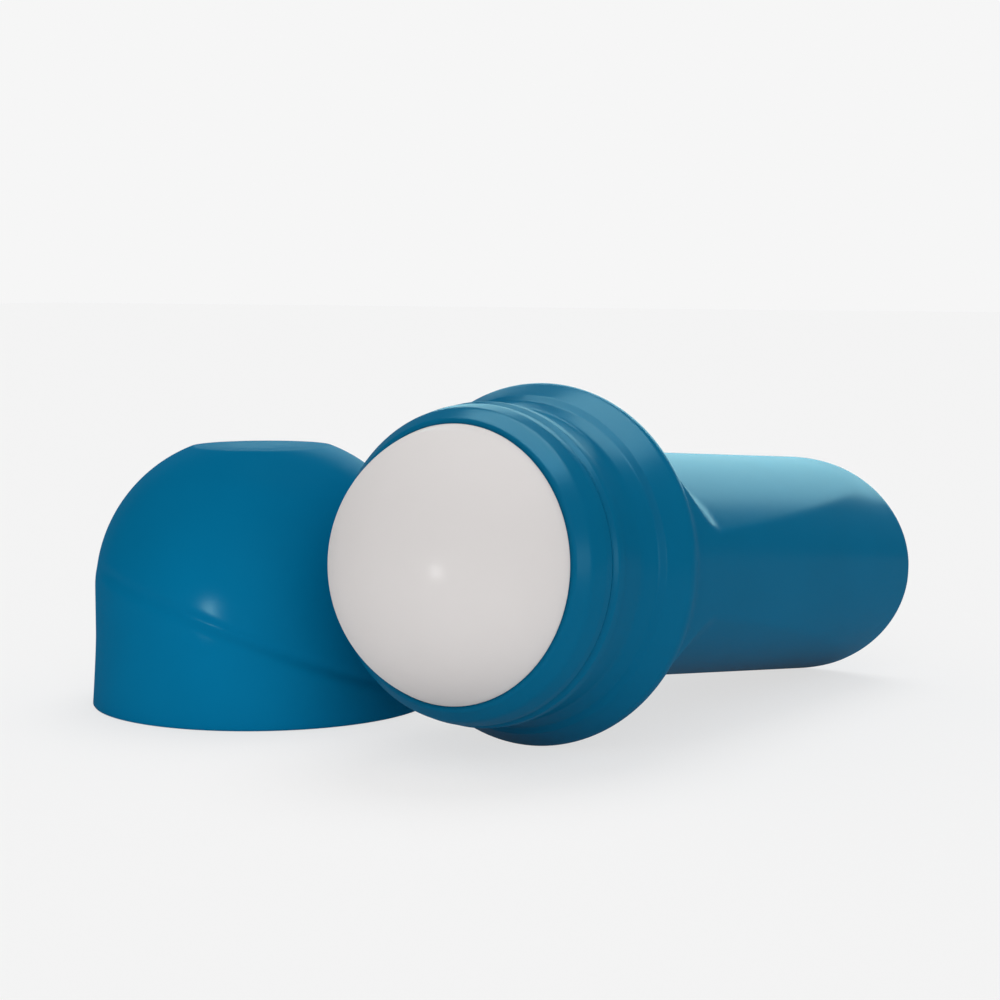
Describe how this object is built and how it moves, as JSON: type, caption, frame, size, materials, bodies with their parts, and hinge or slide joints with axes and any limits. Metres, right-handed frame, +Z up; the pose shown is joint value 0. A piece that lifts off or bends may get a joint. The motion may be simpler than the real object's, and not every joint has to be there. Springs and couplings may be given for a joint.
{
  "type": "roll-on deodorant",
  "caption": "Open roll-on deodorant: a flanged blue bottle lies on its back with a large pale roller ball in its collar, and the domed push-on cap stands beside it.",
  "frame": {"origin": "on the surface that the part stands on, under the middle of its box, which holds the lying bottle and the cap", "axes": "+Z up, away from that surface; +X along the lying bottle from its ball towards its base; +Y from the bottle towards the cap"},
  "size_m": [0.1063, 0.095, 0.0459],
  "materials": {
    "bottle_plastic": "satin",
    "housing_plastic": "satin",
    "ball_plastic": "satin",
    "cap_plastic": "satin",
    "liquid": "wet, milky, translucent"
  },
  "bodies": {
    "bottle": {"bottle": "bottle_plastic", "ball_housing": "housing_plastic", "deodorant_fluid": "liquid"},
    "ball": {"ball": "ball_plastic"},
    "cap": {"cap": "cap_plastic"}
  },
  "joints": [
    {"name": "ball_roll", "type": "hinge", "parent": "bottle", "child": "ball", "pos_m": [-0.03541, -0.02448, 0.02434], "axis": [0, 1, 0], "continuous": true},
    {"name": "cap_lift", "type": "slide", "parent": "bottle", "child": "cap", "axis": [0, 0, 1], "range_m": [0, 0.06]}
  ]
}
